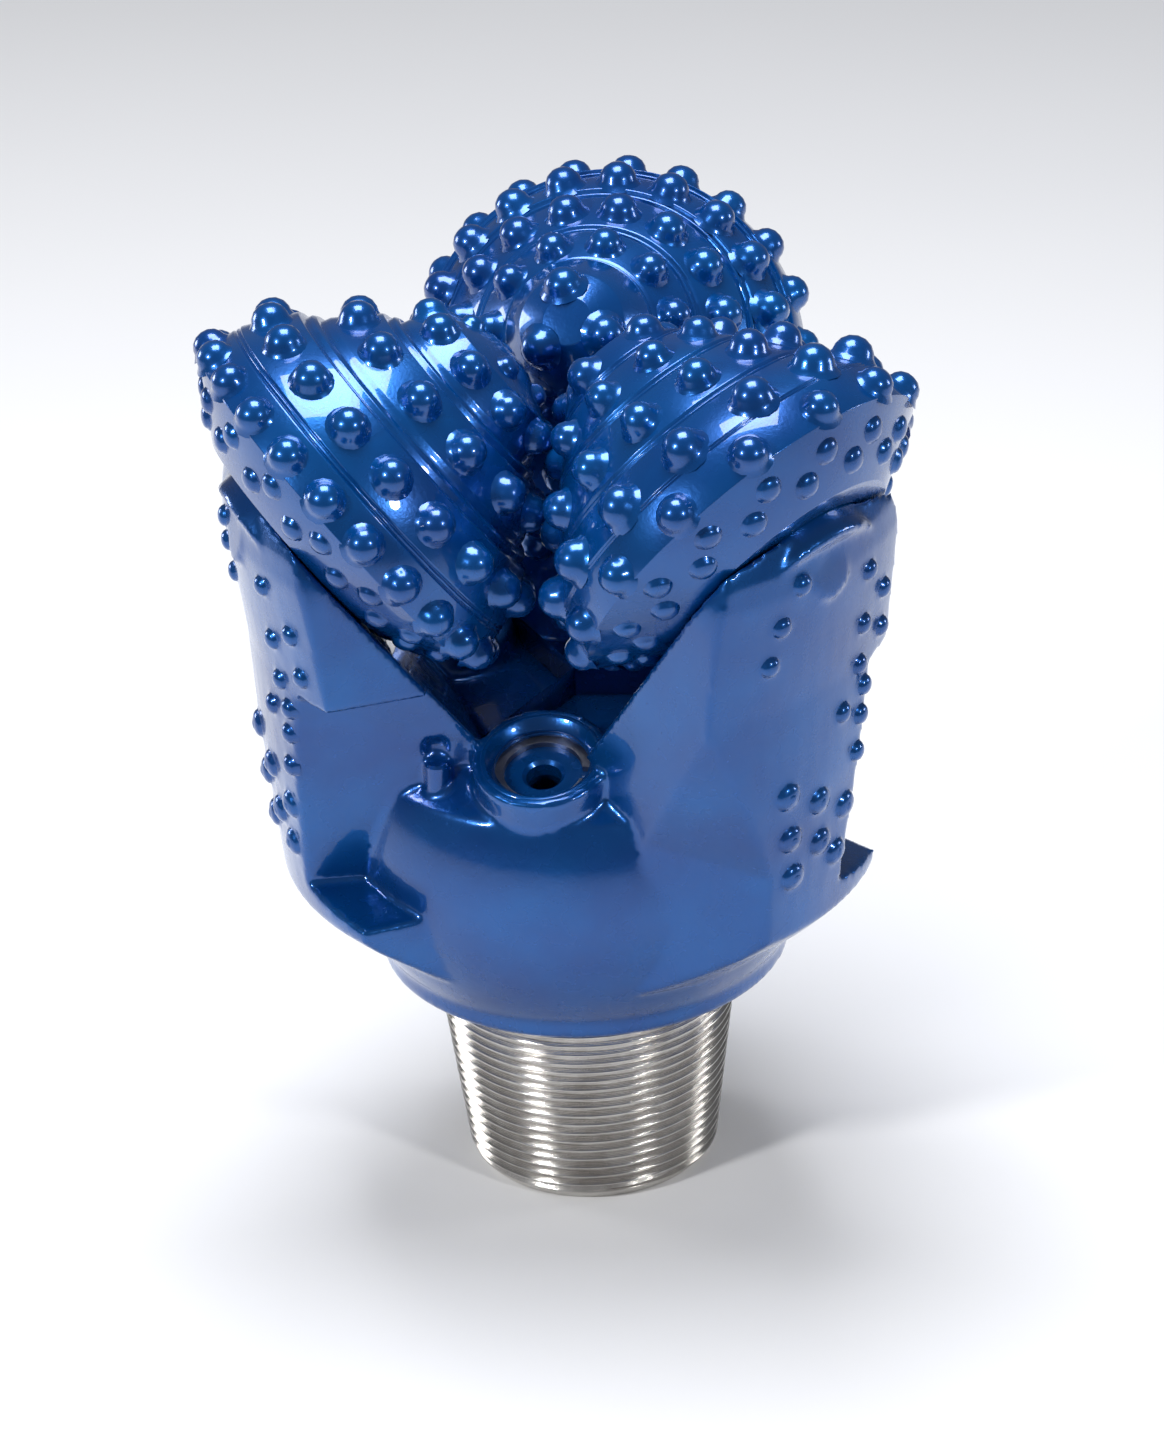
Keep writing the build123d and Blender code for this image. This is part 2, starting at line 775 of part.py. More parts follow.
def build_nozzle():
    """Carbide nozzle seated on the pocket's floor, its way narrowing to the throat."""
    outer = pocket_radius - running_fit
    top = -pocket_depth + nozzle_length
    with BuildPart() as nozzle:
        with BuildSketch(Plane.XZ):
            with BuildLine():
                Polyline(
                    (nozzle_entry_radius, -pocket_depth),
                    (outer, -pocket_depth),
                    (outer, top - nozzle_edge),
                    (outer - nozzle_edge, top),
                    (nozzle_throat_radius + nozzle_edge, top),
                    (nozzle_throat_radius, top - nozzle_edge),
                    (nozzle_throat_radius, top - nozzle_throat_length),
                    close=True,
                )
            make_face()
        revolve(axis=Axis.Z)
    return nozzle.part.moved(nozzle_plane().location)


def build_retaining_ring():
    """Snap ring in the pocket's groove, on top of the nozzle."""
    level = -pocket_depth + nozzle_length + running_fit
    outer = pocket_radius + ring_groove_depth - running_fit
    with BuildPart() as ring:
        with BuildSketch(Plane.XY.offset(level)):
            Circle(outer)
            Circle(ring_inner_radius, mode=Mode.SUBTRACT)
            with Locations((outer, 0)):
                Rectangle(4 * (outer - ring_inner_radius), ring_gap, mode=Mode.SUBTRACT)
        extrude(amount=ring_height - running_fit)
    return ring.part.moved(nozzle_plane().location)


def build_o_ring():
    """Rubber ring in the pocket's lower groove, round the nozzle."""
    middle = pocket_radius + o_ring_section / 2 + running_fit
    with BuildPart(Plane.XY.offset(-pocket_depth + o_ring_place)) as o_ring:
        Torus(middle, o_ring_section / 2 - running_fit)
    return o_ring.part.moved(nozzle_plane().location)


leg_pieces = {
    "leg_{}": build_leg(),
    "leg_{}_wear_inserts": build_leg_inserts(),
    "nozzle_{}": build_nozzle(),
    "nozzle_{}_snap_ring": build_retaining_ring(),
    "nozzle_{}_o_ring": build_o_ring(),
    "nozzle_{}_nail": build_nail(),
}
journal_pieces = {
    "leg_{}_ball_plug": build_ball_plug(),
    "bearing_{}_rollers": build_rollers(),
    "bearing_{}_balls": build_balls(),
    "cone_{}_nose_bushing": build_nose_bushing(),
    "cone_{}_thrust_button": build_thrust_button(),
    "cone_{}_heel_inserts": build_heel_inserts(),
}

for number, angle in enumerate(leg_angles, start=1):
    for name, piece in leg_pieces.items():
        save(at_leg(piece, angle), name.format(number))
    for name, piece in journal_pieces.items():
        save(at_journal(piece, angle), name.format(number))
    save(at_journal(build_cone_shell(number), angle), f"cone_{number}_shell")
    for zone in cone_rows[number]:
        save(at_journal(build_row_inserts(number, zone), angle), f"cone_{number}_{zone}_inserts")
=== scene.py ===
"""Looks of a three-cone rock bit with carbide inserts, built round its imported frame.

Metres, Z up.  The bit stands on its threaded pin with its three cones on top.
"""

import logging
from dataclasses import dataclass, field
from enum import Enum
from math import cos, hypot, radians, sin, tau
from typing import Iterable, Sequence

import bpy
import numpy as np
from bpy.types import Material, Node, NodeSocket, Object
from mathutils import Matrix, Vector


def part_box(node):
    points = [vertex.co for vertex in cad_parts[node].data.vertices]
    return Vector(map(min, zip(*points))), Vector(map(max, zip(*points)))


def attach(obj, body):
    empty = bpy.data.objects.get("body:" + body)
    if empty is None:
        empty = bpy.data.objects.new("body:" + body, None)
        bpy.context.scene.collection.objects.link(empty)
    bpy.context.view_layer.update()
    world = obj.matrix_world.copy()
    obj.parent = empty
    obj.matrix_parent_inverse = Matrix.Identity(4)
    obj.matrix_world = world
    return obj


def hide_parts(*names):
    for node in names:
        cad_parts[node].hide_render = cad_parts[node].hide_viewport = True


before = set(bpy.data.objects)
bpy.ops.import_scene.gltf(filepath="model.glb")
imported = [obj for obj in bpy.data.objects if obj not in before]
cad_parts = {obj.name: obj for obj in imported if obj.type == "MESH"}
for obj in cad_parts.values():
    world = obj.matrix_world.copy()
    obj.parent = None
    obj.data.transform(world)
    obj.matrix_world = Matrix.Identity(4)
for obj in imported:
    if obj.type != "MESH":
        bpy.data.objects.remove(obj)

log = logging.getLogger("rock_bit")

MM = 0.001
SAME_POINT = 0.00001          # points nearer than this are one point, in metres
SAME_CORNER = 0.00002         # the same for the frame's loose triangles
LEG_ANGLES = (210, 330, 90)   # bearings of legs 1, 2 and 3 about Z, in degrees
Point = tuple[float, float]
Colour = tuple[float, float, float, float]


class Zone(Enum):
    """Rows of inserts on a cone, from its nose to its heel."""

    NOSE = "nose"
    INNER = "inner"
    MIDDLE = "middle"
    OUTER = "outer"
    GAUGE = "gauge"
    HEEL = "heel"


# ------------------------------------------------------------------ shader maths
class Wire:
    """A value in a node tree that takes part in Python arithmetic."""

    def __init__(self, tree: bpy.types.NodeTree, socket: NodeSocket) -> None:
        """Keep the tree, so that an expression can add its own nodes to it.

        Args:
            tree: node tree that the socket belongs to.
            socket: output socket that carries the value.
        """
        self.tree = tree
        self.socket = socket

    def calculate(self, operation: str, first: "Wire | float", second: "Wire | float") -> "Wire":
        """Add one Math node.

        Args:
            operation: name of the node's operation.
            first: left side, a wire or a number.
            second: right side, a wire or a number.

        Returns:
            The node's result.
        """
        made = self.tree.nodes.new("ShaderNodeMath")
        made.operation = operation
        for place, value in zip(made.inputs, (first, second)):
            if isinstance(value, Wire):
                self.tree.links.new(value.socket, place)
            else:
                place.default_value = value
        return Wire(self.tree, made.outputs[0])

    def __add__(self, other: "Wire | float") -> "Wire":
        """Sum."""
        return self.calculate("ADD", self, other)

    def __radd__(self, other: float) -> "Wire":
        """Sum with a number on the left."""
        return self.calculate("ADD", other, self)

    def __sub__(self, other: "Wire | float") -> "Wire":
        """Difference."""
        return self.calculate("SUBTRACT", self, other)

    def __rsub__(self, other: float) -> "Wire":
        """Difference from a number."""
        return self.calculate("SUBTRACT", other, self)

    def __mul__(self, other: "Wire | float") -> "Wire":
        """Product."""
        return self.calculate("MULTIPLY", self, other)

    def __rmul__(self, other: float) -> "Wire":
        """Product with a number on the left."""
        return self.calculate("MULTIPLY", other, self)

    def sine(self) -> "Wire":
        """Sine of the value in radians."""
        return self.calculate("SINE", self, 0.0)


class Finish:
    """One material in the making: its nodes and its principled shader."""

    def __init__(self, name: str, **constants: object) -> None:
        """Start an empty material.

        Args:
            name: name of the material.
            constants: values set straight on the shader's own sockets, by socket
                name with underscores for spaces.
        """
        self.material: Material = bpy.data.materials.new(name)
        self.material.use_nodes = True
        self.tree = self.material.node_tree
        self.tree.nodes.clear()
        self.shader = self.node("ShaderNodeBsdfPrincipled")
        self.node("ShaderNodeOutputMaterial", {}, {"Surface": self.wire(self.shader)})
        for key, value in constants.items():
            self.shader.inputs[key.replace("_", " ")].default_value = value

    def node(
        self,
        kind: str,
        settings: dict[str, object] | None = None,
        sockets: dict[str | int, object] | None = None,
        stops: Sequence[tuple[float, Colour]] = (),
    ) -> Node:
        """Add one node.

        Args:
            kind: the node's type.
            settings: attributes set before anything is linked.
            sockets: values or wires of its inputs, by name or number.
            stops: positions and colours of a ramp's stops.

        Returns:
            The new node.
        """
        made = self.tree.nodes.new(kind)
        for key, value in (settings or {}).items():
            setattr(made, key, value)
        for index, (position, colour) in enumerate(stops):
            elements = made.color_ramp.elements
            stop = elements[index] if index < len(elements) else elements.new(position)
            stop.position, stop.color = position, colour
        for key, value in (sockets or {}).items():
            self.feed(made.inputs[key], value)
        return made

    def feed(self, place: NodeSocket, value: object) -> None:
        """Link a wire to an input, or set the input's own value.

        Args:
            place: the input socket.
            value: a wire, or a value of the socket's own kind.
        """
        if isinstance(value, Wire):
            self.tree.links.new(value.socket, place)
        else:
            place.default_value = value

    def wire(self, made: Node, output: str | int = 0) -> Wire:
        """One output of a node as a value for arithmetic."""
        return Wire(self.tree, made.outputs[output])

    def place(self) -> Wire:
        """Object coordinates, the same as the row frame's metres."""
        return self.wire(self.node("ShaderNodeTexCoord"), "Object")

    def axis(self, name: str) -> Wire:
        """One coordinate of the place: X, Y or Z."""
        parts = self.node("ShaderNodeSeparateXYZ", {}, {0: self.place()})
        return self.wire(parts, name)

    def noise(self, scale: float, detail: float = 2.0, roughness: float = 0.5) -> Wire:
        """Cloudy value round 0.5.

        Args:
            scale: clouds per metre.
            detail: octaves of finer clouds.
            roughness: strength of the finer clouds.

        Returns:
            The value.
        """
        made = self.node(
            "ShaderNodeTexNoise",
            {},
            {"Vector": self.place(), "Scale": scale, "Detail": detail, "Roughness": roughness},
        )
        return self.wire(made, 0)

    def cells(self, scale: float) -> Wire:
        """Distance to the nearest of scattered points, for specks.

        Args:
            scale: points per metre.

        Returns:
            The value.
        """
        made = self.node(
            "ShaderNodeTexVoronoi", {}, {"Vector": self.place(), "Scale": scale}
        )
        return self.wire(made, "Distance")

    def ramp(self, value: Wire, stops: Sequence[tuple[float, Colour]]) -> Wire:
        """Turn a value into colours or into a mask.

        Args:
            value: the value.
            stops: positions and colours of the ramp's stops.

        Returns:
            The colour.
        """
        made = self.node("ShaderNodeValToRGB", {}, {"Fac": value}, stops)
        return self.wire(made, "Color")

    def mix(self, factor: Wire, first: object, second: object) -> Wire:
        """Blend two colours.

        Args:
            factor: share of the second one.
            first: colour or wire.
            second: colour or wire.

        Returns:
            The colour.
        """
        made = self.node(
            "ShaderNodeMix", {"data_type": "RGBA"}, {0: factor, 6: first, 7: second}
        )
        return self.wire(made, 2)

    def bump(self, height: Wire, distance: float, under: Wire | None = None) -> Wire:
        """Surface relief.

        Args:
            height: relief from 0 to 1.
            distance: its height in metres.
            under: coarser relief that this one lies on.

        Returns:
            The bent normal.
        """
        sockets: dict[str | int, object] = {"Height": height, "Distance": distance}
        if under is not None:
            sockets["Normal"] = under
        return self.wire(self.node("ShaderNodeBump", {}, sockets), 0)

    def dress(self, **inputs: object) -> Material:
        """Link what varies to the shader.

        Args:
            inputs: values or wires by socket name, with underscores for spaces.

        Returns:
            The material.
        """
        for key, value in inputs.items():
            self.feed(self.shader.inputs[key.replace("_", " ")], value)
        return self.material


# --------------------------------------------------------------------- finishes
@dataclass(frozen=True)
class GlossPaint:
    """Thick glossy paint over forged steel."""

    name: str
    deep: Colour = (0.0, 0.038, 0.205, 1)
    bright: Colour = (0.0, 0.105, 0.370, 1)
    wave: float = 0.0012

    def material(self) -> Material:
        """Two tones of colour, slow waves, orange peel and a few dust specks."""
        finish = Finish(self.name, IOR=1.4, Coat_Roughness=0.03, Coat_IOR=1.5)
        clouds = finish.noise(14, 3)
        peel = finish.noise(420, 2, 0.6)
        grain = finish.noise(1500, 1)
        specks = finish.ramp(finish.cells(95), [(0.0, (1, 1, 1, 1)), (0.07, (0, 0, 0, 1))])
        tone = finish.mix(clouds * 1.5 - 0.25, self.deep, self.bright)
        waves = finish.bump(finish.noise(11, 2), self.wave)
        skin = finish.bump(peel, 0.00010, waves)
        dust = finish.bump(specks * 1.0 + grain * 0.10, 0.00016, skin)
        return finish.dress(
            Base_Color=tone,
            Metallic=0.45 + clouds * 0.20,
            Roughness=0.22 + finish.noise(60, 3) * 0.10,
            Coat_Weight=0.6 + peel * 0.2,
            Normal=dust,
        )


@dataclass(frozen=True)
class TurnedSteel:
    """Bright steel with the fine rings that a lathe tool leaves."""

    name: str
    clean: Colour = (0.66, 0.64, 0.61, 1)
    stained: Colour = (0.42, 0.39, 0.36, 1)
    rings: float = 12500.0

    def material(self) -> Material:
        """Rings along Z, faint stains and scratches."""
        finish = Finish(self.name, IOR=2.4)
        stains = finish.noise(38, 5, 0.65)
        height = finish.axis("Z") + finish.noise(30) * 0.0004
        rings = (height * self.rings).sine() * 0.5 + 0.5
        scratches = finish.noise(900, 2)
        tone = finish.mix(stains * 2.2 - 0.85, self.clean, self.stained)
        relief = finish.bump(rings * 0.8 + scratches * 0.2, 0.00008)
        return finish.dress(
            Base_Color=tone,
            Metallic=1.0 - stains * 0.04,
            Roughness=0.10 + stains * 0.10 + scratches * 0.04,
            Normal=relief,
        )


@dataclass(frozen=True)
class GroundMetal:
    """Hard metal ground or cast smooth, for bearing pieces and small parts."""

    name: str
    base: Colour
    worn: Colour
    gloss: float = 0.25
    grain: float = 1400.0

    def material(self) -> Material:
        """Fine grain with cloudy handling marks."""
        finish = Finish(self.name)
        clouds = finish.noise(70, 4, 0.6)
        grain = finish.noise(self.grain, 2)
        return finish.dress(
            Base_Color=finish.mix(clouds * 1.6 - 0.3, self.base, self.worn),
            Metallic=1.0 - clouds * 0.1,
            Roughness=self.gloss + clouds * 0.15,
            Normal=finish.bump(grain, 0.00003),
        )


@dataclass(frozen=True)
class SealRubber:
    """Matt black rubber of the nozzle's ring."""

    name: str
    base: Colour = (0.012, 0.012, 0.013, 1)
    dusty: Colour = (0.045, 0.044, 0.042, 1)

    def material(self) -> Material:
        """Soft bloom on a fine-grained skin."""
        finish = Finish(self.name)
        bloom = finish.noise(240, 4)
        return finish.dress(
            Base_Color=finish.mix(bloom, self.base, self.dusty),
            Roughness=0.55 + bloom * 0.25,
            Normal=finish.bump(finish.noise(2200, 2), 0.00004),
        )


@dataclass(frozen=True)
class PaleFloor:
    """Plain pale floor of the studio."""

    name: str = "pale_floor"

    def material(self) -> Material:
        """Almost white, with a breath of unevenness."""
        finish = Finish(self.name)
        haze = finish.noise(1.5, 3)
        return finish.dress(
            Base_Color=finish.mix(haze, (0.86, 0.86, 0.87, 1), (0.90, 0.90, 0.90, 1)),
            Roughness=0.75 + haze * 0.15,
        )


# --------------------------------------------------------------------- modelling
class Bench:
    """Operations that shape one new piece at a time."""

    @staticmethod
    def clear() -> None:
        """Leave edit mode and deselect everything."""
        active = bpy.context.view_layer.objects.active
        if active is not None and active.mode != "OBJECT":
            bpy.ops.object.mode_set(mode="OBJECT")
        bpy.ops.object.select_all(action="DESELECT")

    @staticmethod
    def take(pieces: Iterable[Object]) -> None:
        """Select these pieces and nothing else, the first of them active.

        Args:
            pieces: at least one piece.
        """
        Bench.clear()
        chosen = list(pieces)
        for piece in chosen:
            piece.select_set(True)
        bpy.context.view_layer.objects.active = chosen[0]

    @staticmethod
    def edit(piece: Object) -> None:
        """Open one piece in edit mode with everything in it selected.

        Args:
            piece: the piece.
        """
        Bench.take([piece])
        bpy.ops.object.mode_set(mode="EDIT")
        bpy.ops.mesh.select_mode(type="VERT")
        bpy.ops.mesh.select_all(action="SELECT")

    @staticmethod
    def tidy() -> None:
        """In edit mode, merge doubles, turn faces outwards and leave."""
        bpy.ops.mesh.select_all(action="SELECT")
        bpy.ops.mesh.remove_doubles(threshold=SAME_POINT)
        bpy.ops.mesh.normals_make_consistent(inside=False)
        bpy.ops.object.mode_set(mode="OBJECT")

    @staticmethod
    def draw(name: str, outline: Sequence[Point]) -> Object:
        """Draw a thin line of points in the XZ plane and stay in edit mode.

        Args:
            name: name of the new piece.
            outline: points (radius, height).

        Returns:
            The new piece.
        """
        Bench.clear()
        bpy.ops.mesh.primitive_plane_add(size=MM)
        piece = bpy.context.object
        piece.name = piece.data.name = name
        Bench.edit(piece)
        bpy.ops.mesh.merge(type="CENTER")
        bpy.ops.transform.translate(value=(outline[0][0], 0, outline[0][1]))
        for (r0, z0), (r1, z1) in zip(outline, outline[1:]):
            step = {"value": (r1 - r0, 0, z1 - z0)}
            bpy.ops.mesh.extrude_region_move(TRANSFORM_OT_translate=step)
        return piece

    @staticmethod
    def turn(name: str, outline: Sequence[Point], steps: int) -> Object:
        """Turn an outline about the Z axis, as on a lathe.

        Args:
            name: name of the new piece.
            outline: points (radius, height); its ends meet or lie on the axis.
            steps: flats round a whole turn.

        Returns:
            The turned piece.
        """
        piece = Bench.draw(name, outline)
        bpy.ops.mesh.select_all(action="SELECT")
        bpy.ops.mesh.spin(steps=steps, angle=tau, center=(0, 0, 0), axis=(0, 0, 1))
        Bench.tidy()
        return piece

    @staticmethod
    def apply(piece: Object, kind: str, **settings: object) -> None:
        """Add one modifier to a piece and apply it.

        Args:
            piece: the piece to change.
            kind: the modifier's type.
            settings: the modifier's attributes.
        """
        Bench.take([piece])
        modifier = piece.modifiers.new(kind.lower(), kind)
        for key, value in settings.items():
            setattr(modifier, key, value)
        bpy.ops.object.modifier_apply(modifier=modifier.name)

    @staticmethod
    def soften(piece: Object, width: float, segments: int = 3, angle: float = 14) -> None:
        """Round the edges that are sharper than an angle in degrees."""
        Bench.apply(
            piece, "BEVEL", width=width, segments=segments,
            limit_method="ANGLE", angle_limit=radians(angle), harden_normals=False,
        )

    @staticmethod
    def smooth(piece: Object, angle: float = 40) -> None:
        """Shade a piece smooth up to an angle in degrees."""
        Bench.take([piece])
        bpy.ops.object.shade_smooth_by_angle(angle=radians(angle))

    @staticmethod
    def twin(source: Object, name: str) -> Object:
        """Copy a piece with a mesh of its own, free of any modifier.

        Args:
            source: the piece to copy.
            name: name of the copy.

        Returns:
            The copy.
        """
        copy = bpy.data.objects.new(name, source.data.copy())
        bpy.context.scene.collection.objects.link(copy)
        return copy

    @staticmethod
    def join(pieces: Sequence[Object], name: str) -> Object:
        """Join pieces into the first of them.

        Args:
            pieces: the pieces.
            name: name of the joined piece.

        Returns:
            The joined piece.
        """
        Bench.take(pieces)
        if len(pieces) > 1:
            bpy.ops.object.join()
        joined = bpy.context.view_layer.objects.active
        joined.name = joined.data.name = name
        return joined

    @staticmethod
    def settle(piece: Object, place: Matrix) -> Object:
        """Put a place into the piece's mesh, leaving its object at the origin.

        Args:
            piece: the piece.
            place: matrix from the mesh's own frame to the row frame.

        Returns:
            The piece.
        """
        piece.data.transform(place)
        piece.data.update()
        return piece

    @staticmethod
    def coat(piece: Object, material: Material) -> Object:
        """Give a piece one material all over.

        Args:
            piece: the piece.
            material: its material.

        Returns:
            The piece.
        """
        piece.data.materials.clear()
        piece.data.materials.append(material)
        return piece


@dataclass(frozen=True)
class Seat:
    """Where one insert of the frame stands.

    Attributes:
        tip: its highest point.
        out: its axis, pointing out of the surface.
        radius: radius of its grip.
    """

    tip: Vector
    out: Vector
    radius: float

    @staticmethod
    def of_part(points: np.ndarray, centre: Vector) -> "Seat":
        """Find the axis of a turned solid from its own points.

        Args:
            points: the solid's vertices.
            centre: a point deep inside the body that carries the insert.

        Returns:
            The seat.
        """
        middle = points.mean(axis=0)
        spread, axes = np.linalg.eigh(np.cov((points - middle).T))
        lone = 0 if spread[1] - spread[0] > spread[2] - spread[1] else 2
        out = Vector(axes[:, lone])
        if out.dot(Vector(middle) - centre) < 0:
            out.negate()
        along = (points - middle) @ np.array(out)
        across = np.linalg.norm((points - middle) - np.outer(along, np.array(out)), axis=1)
        tip = Vector(middle) + out * float(along.max())
        return Seat(tip, out, float(across.max()))

    @staticmethod
    def of_node(name: str, centre: Vector) -> list["Seat"]:
        """All seats of a node that holds several inserts.

        Args:
            name: the frame's node.
            centre: a point deep inside the body that carries them.

        Returns:
            One seat for each loose solid of the node.
        """
        spare = Bench.twin(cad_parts[name], "spare")
        Bench.edit(spare)
        bpy.ops.mesh.remove_doubles(threshold=SAME_CORNER)
        bpy.ops.mesh.separate(type="LOOSE")
        bpy.ops.object.mode_set(mode="OBJECT")
        seats = []
        for part in list(bpy.context.selected_objects):
            points = np.empty(len(part.data.vertices) * 3)
            part.data.vertices.foreach_get("co", points)
            seats.append(Seat.of_part(points.reshape(-1, 3), centre))
            bpy.data.objects.remove(part)
        return seats

    def place(self, stand_out: float) -> Matrix:
        """Place for a dome drawn on +Z, its foot in the surface.

        Args:
            stand_out: height of the insert's tip over the surface.

        Returns:
            Matrix to this seat.
        """
        turn = self.out.to_track_quat("Z", "Y").to_matrix().to_4x4()
        return Matrix.Translation(self.tip - self.out * stand_out) @ turn


@dataclass
class PaintedDomes:
    """Domed carbide inserts under the paint, with the paint's fillet at each foot."""

    node: str
    centre: Vector
    stand_out: float
    material: Material
    paint: float = 1.1 * MM
    steps: int = 16

    def outline(self, radius: float) -> list[Point]:
        """Points of one dome from its fillet's edge to its tip.

        Args:
            radius: radius of the insert's grip.

        Returns:
            Points (radius, height) over the surface.
        """
        wide = radius + self.paint
        top = self.stand_out + 0.5 * self.paint
        skirt = max(top - wide, 0.18 * top)
        rise = top - skirt
        points = [(0.0, -1.6 * self.paint), (1.34 * wide, -1.6 * self.paint)]
        points += [(1.13 * wide, 0.05 * top), (1.015 * wide, 0.2 * top)]
        for angle in (18, 42, 66):
            points.append((wide * cos(radians(angle)), skirt + rise * sin(radians(angle))))
        return points + [(0.0, top)]

    def build(self) -> Object:
        """Model one dome and copy it to every seat of the node.

        Returns:
            All domes of the node as one piece.
        """
        seats = Seat.of_node(self.node, self.centre)
        sizes: dict[float, Object] = {}
        copies = []
        for seat in seats:
            key = round(seat.radius, 4)
            if key not in sizes:
                sizes[key] = Bench.turn("dome", self.outline(seat.radius), self.steps)
                Bench.smooth(sizes[key], 75)
            stand_out = self.stand_out * seat.radius / seats[0].radius
            copy = Bench.twin(sizes[key], "copy")
            copies.append(Bench.settle(copy, seat.place(stand_out)))
        for dome in sizes.values():
            bpy.data.objects.remove(dome)
        piece = Bench.join(copies, f"{self.node}_painted")
        return Bench.coat(piece, self.material)


# ------------------------------------------------------------------ sub-assemblies
# Section of two grooves with a rib between them: share of the way, share of the depth.
GROOVE_PAIR = ((0.12, 0.5), (0.26, 1.0), (0.40, 0.25), (0.58, 0.2), (0.74, 1.0), (0.9, 0.35))


@dataclass
class RollingCone:
    """One cone: its turned shell with lands and grooves, and its rows of inserts.

    Attributes:
        number: the leg that carries it.
        lands: each land as (start, radius, end, radius) in millimetres, measured
            inwards along the axis from the heel corner.
        stand_outs: how far the inserts of each row stand out, in millimetres.
    """

    number: int
    lands: Sequence[tuple[float, float, float, float]]
    stand_outs: dict[Zone, float]
    paint: Material
    tilt: float = 36.0
    crossing_height: float = 538.0
    journal_offset: float = 3.5
    heel_corner: float = 166.35
    nose_reach: float = 129.5
    nose_radius: float = 14.0
    heel_width: float = 26.0
    back_radius: float = 73.0
    groove_depth: float = 3.0
    full_groove_width: float = 10.0
    mouth_chamfer: float = 8.0
    edge_round: float = 0.7
    flats: int = 128
    mouth_radius: float = 54.5
    bore_radius: float = 63.5
    bore_depth: float = 74.0
    pin_bore_radius: float = 34.5
    pin_bore_depth: float = 113.5

    def place(self) -> Matrix:
        """Matrix from the journal's own frame to the row frame."""
        lean = radians(self.tilt)
        out = Vector((cos(lean), 0, -sin(lean)))
        side = Vector((0, 1, 0))
        axes = Matrix((side, out.cross(side), out)).transposed().to_4x4()
        origin = Vector((0, self.journal_offset, self.crossing_height)) * MM
        turn = Matrix.Rotation(radians(LEG_ANGLES[self.number - 1]), 4, "Z")
        return turn @ Matrix.Translation(origin) @ axes

    def grooves(self, low: Point, high: Point) -> list[Point]:
        """Two fine grooves with a thin rib between them, across a step.

        Args:
            low: where the upper land ends.
            high: where the next land starts.

        Returns:
            Points between the two.
        """
        (r0, z0), (r1, z1) = low, high
        length = hypot(r1 - r0, z1 - z0)
        normal = ((z1 - z0) / length, -(r1 - r0) / length)
        points = []
        for share, sunk in GROOVE_PAIR:
            depth = self.groove_depth * sunk * min(1.0, length / self.full_groove_width)
            points.append((
                r0 + (r1 - r0) * share - normal[0] * depth,
                z0 + (z1 - z0) * share - normal[1] * depth,
            ))
        return points

    def outline(self) -> list[Point]:
        """The shell's whole section, outside and bore, in metres."""
        corner = self.heel_corner
        points = [(0.0, corner - self.nose_reach), (self.nose_radius, corner - self.nose_reach)]
        for index, (start, start_radius, end, end_radius) in enumerate(self.lands):
            if index:
                points += self.grooves(points[-1], (start_radius, corner - start))
            points += [(start_radius, corner - start), (end_radius, corner - end)]
        back = corner + self.heel_width
        points += [
            (self.back_radius, back),
            (self.mouth_radius, back),
            (self.bore_radius, back - self.mouth_chamfer),
            (self.bore_radius, back - self.bore_depth),
            (self.pin_bore_radius, back - self.bore_depth),
            (self.pin_bore_radius, back - self.pin_bore_depth),
            (0.0, back - self.pin_bore_depth),
        ]
        return [(r * MM, z * MM) for r, z in points]

    def shell(self) -> Object:
        """Turn the shell and round its edges as paint does."""
        shell = Bench.turn(f"cone_{self.number}_painted_shell", self.outline(), self.flats)
        Bench.soften(shell, self.edge_round * MM, 2, 16)
        Bench.smooth(shell, 34)
        Bench.settle(shell, self.place())
        return Bench.coat(shell, self.paint)

    def build(self) -> list[Object]:
        """Make the shell and the rows, and let them ride on the cone.

        Returns:
            The cone's pieces.
        """
        body = f"cone_{self.number}"
        shell = self.shell()
        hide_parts(f"{body}_shell")
        made = [shell]
        centre = self.place() @ Vector((0, 0, self.heel_corner * MM))
        for zone, stand_out in self.stand_outs.items():
            node = f"{body}_{zone.value}_inserts"
            row = PaintedDomes(node, centre, stand_out * MM, self.paint).build()
            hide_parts(node)
            made.append(row)
        for piece in made:
            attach(piece, body)
        return made


